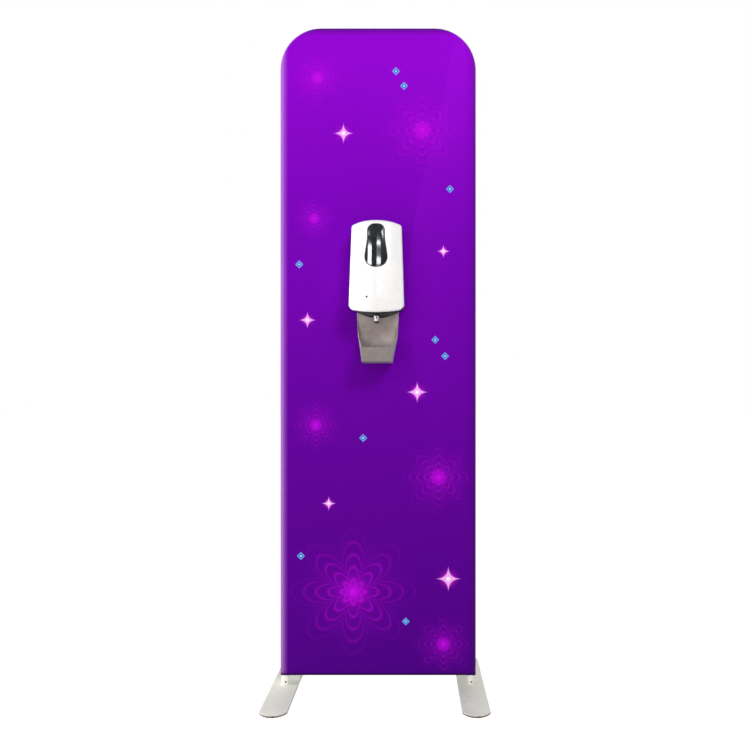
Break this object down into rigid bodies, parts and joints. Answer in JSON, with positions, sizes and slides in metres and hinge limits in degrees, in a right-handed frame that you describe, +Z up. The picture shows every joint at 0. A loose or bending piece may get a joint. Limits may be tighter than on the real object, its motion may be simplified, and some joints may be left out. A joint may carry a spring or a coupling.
{
  "type": "pop-up display stand",
  "caption": "Tension-fabric banner stand on flat feet, with a touch-free gel dispenser and a drip tray fixed to its front panel.",
  "frame": {"origin": "middle of the stand's outer box, on the floor under both feet", "axes": "+Z up, +X to the right seen from the front, -Y out of the printed front, towards the viewer"},
  "size_m": [0.6478, 0.4, 2.017],
  "materials": {
    "anodised_tube": "satin anodised round tube",
    "brushed_foot": "brushed along its length",
    "zinc_steel": "zinc plated, dull",
    "spring_steel": "bright spring steel",
    "dark_screw": "black oxide",
    "printed_cloth": "stretch polyester, dye printed, purple fading down to violet",
    "zip": "woven tape with moulded teeth",
    "black_plastic": "fine moulded grain",
    "gray_plastic": "moulded, satin",
    "white_plastic": "smooth white moulding",
    "smoked_window": "polished smoked acrylic",
    "clear_bottle": "clear, filled with gel",
    "tray_sheet": "mottled gray coating"
  },
  "bodies": {
    "frame": {"battery_pack": "zinc_steel", "corner_bend_left": "anodised_tube", "corner_bend_right": "anodised_tube", "crossbar_bottom": "anodised_tube", "crossbar_lower": "anodised_tube", "crossbar_upper": "anodised_tube", "dispenser_base": "black_plastic", "dispenser_screw_lower_left": "zinc_steel", "dispenser_screw_lower_right": "zinc_steel", "dispenser_screw_upper_left": "zinc_steel", "dispenser_screw_upper_right": "zinc_steel", "drip_tray": "tray_sheet", "drive_case": "black_plastic", "fabric_back": "printed_cloth", "fabric_front": "printed_cloth", "mounting_plate": "zinc_steel", "nozzle": "white_plastic", "plate_strap_lower": "zinc_steel", "plate_strap_upper": "zinc_steel", "pump_cap": "gray_plastic", "refill_bottle": "clear_bottle", "saddle_crossbar_bottom_left": "black_plastic", "saddle_crossbar_bottom_right": "black_plastic", "saddle_crossbar_lower_left": "black_plastic", "saddle_crossbar_lower_right": "black_plastic", "saddle_crossbar_upper_left": "black_plastic", "saddle_crossbar_upper_right": "black_plastic", "sensor_lens": "smoked_window", "spigot_bend_left": "zinc_steel", "spigot_bend_right": "zinc_steel", "spigot_top_left": "zinc_steel", "spigot_top_right": "zinc_steel", "spigot_upright_left": "zinc_steel", "spigot_upright_right": "zinc_steel", "top_tube": "anodised_tube", "upright_lower_left": "anodised_tube", "upright_lower_right": "anodised_tube", "upright_upper_left": "anodised_tube", "upright_upper_right": "anodised_tube", "zip_tape": "zip"},
    "foot_left": {"foot_plate_left": "brushed_foot", "foot_spigot_left": "zinc_steel", "foot_screw_left": "dark_screw"},
    "foot_right": {"foot_plate_right": "brushed_foot", "foot_spigot_right": "zinc_steel", "foot_screw_right": "dark_screw"},
    "cover": {"dispenser_cover": "white_plastic", "dispenser_window": "smoked_window", "indicator_lamp": "smoked_window"},
    "lock": {"cover_lock": "zinc_steel"},
    "switch": {"power_switch": "gray_plastic"},
    "lid": {"battery_lid": "black_plastic"},
    "slider": {"zip_slider": "spring_steel"},
    "puller": {"zip_puller": "spring_steel"},
    "button_upright_left": {"snap_button_upright_left": "spring_steel"},
    "button_upright_right": {"snap_button_upright_right": "spring_steel"},
    "button_bend_left": {"snap_button_bend_left": "spring_steel"},
    "button_bend_right": {"snap_button_bend_right": "spring_steel"},
    "button_top_left": {"snap_button_top_left": "spring_steel"},
    "button_top_right": {"snap_button_top_right": "spring_steel"}
  },
  "joints": [
    {"name": "foot_swivel_left", "type": "hinge", "parent": "frame", "child": "foot_left", "pos_m": [-0.2839, 0, 0], "axis": [0, 0, 1], "range_deg": [-90, 90]},
    {"name": "foot_swivel_right", "type": "hinge", "parent": "frame", "child": "foot_right", "pos_m": [0.2839, 0, 0], "axis": [0, 0, 1], "range_deg": [-90, 90]},
    {"name": "button_press_upright_left", "type": "slide", "parent": "frame", "child": "button_upright_left", "axis": [-1, 0, 0], "range_m": [0, 0.0038], "stiffness_N_per_m": 2000, "springref_m": -0.0005},
    {"name": "button_press_upright_right", "type": "slide", "parent": "frame", "child": "button_upright_right", "axis": [1, 0, 0], "range_m": [0, 0.0038], "stiffness_N_per_m": 2000, "springref_m": -0.0005},
    {"name": "button_press_bend_left", "type": "slide", "parent": "frame", "child": "button_bend_left", "axis": [-1, 0, 0], "range_m": [0, 0.0038], "stiffness_N_per_m": 2000, "springref_m": -0.0005},
    {"name": "button_press_bend_right", "type": "slide", "parent": "frame", "child": "button_bend_right", "axis": [1, 0, 0], "range_m": [0, 0.0038], "stiffness_N_per_m": 2000, "springref_m": -0.0005},
    {"name": "button_press_top_left", "type": "slide", "parent": "frame", "child": "button_top_left", "axis": [0, 0, 1], "range_m": [0, 0.0038], "stiffness_N_per_m": 2000, "springref_m": -0.0005},
    {"name": "button_press_top_right", "type": "slide", "parent": "frame", "child": "button_top_right", "axis": [0, 0, 1], "range_m": [0, 0.0038], "stiffness_N_per_m": 2000, "springref_m": -0.0005},
    {"name": "cover_swing", "type": "hinge", "parent": "frame", "child": "cover", "pos_m": [0, -0.0372, 1.155], "axis": [1, 0, 0], "range_deg": [0, 75]},
    {"name": "lock_turn", "type": "hinge", "parent": "cover", "child": "lock", "pos_m": [0, -0.0447, 1.4], "axis": [0, 0, 1], "range_deg": [0, 90]},
    {"name": "switch_slide", "type": "slide", "parent": "frame", "child": "switch", "axis": [1, 0, 0], "range_m": [0, 0.004]},
    {"name": "lid_lift", "type": "slide", "parent": "frame", "child": "lid", "axis": [0, 0, -1], "range_m": [0, 0.04]},
    {"name": "zip_travel", "type": "slide", "parent": "frame", "child": "slider", "axis": [1, 0, 0], "range_m": [0, 0.47]},
    {"name": "puller_swing", "type": "hinge", "parent": "slider", "child": "puller", "pos_m": [-0.236, 0.0205, 0.094], "axis": [1, 0, 0], "range_deg": [0, 160]}
  ]
}
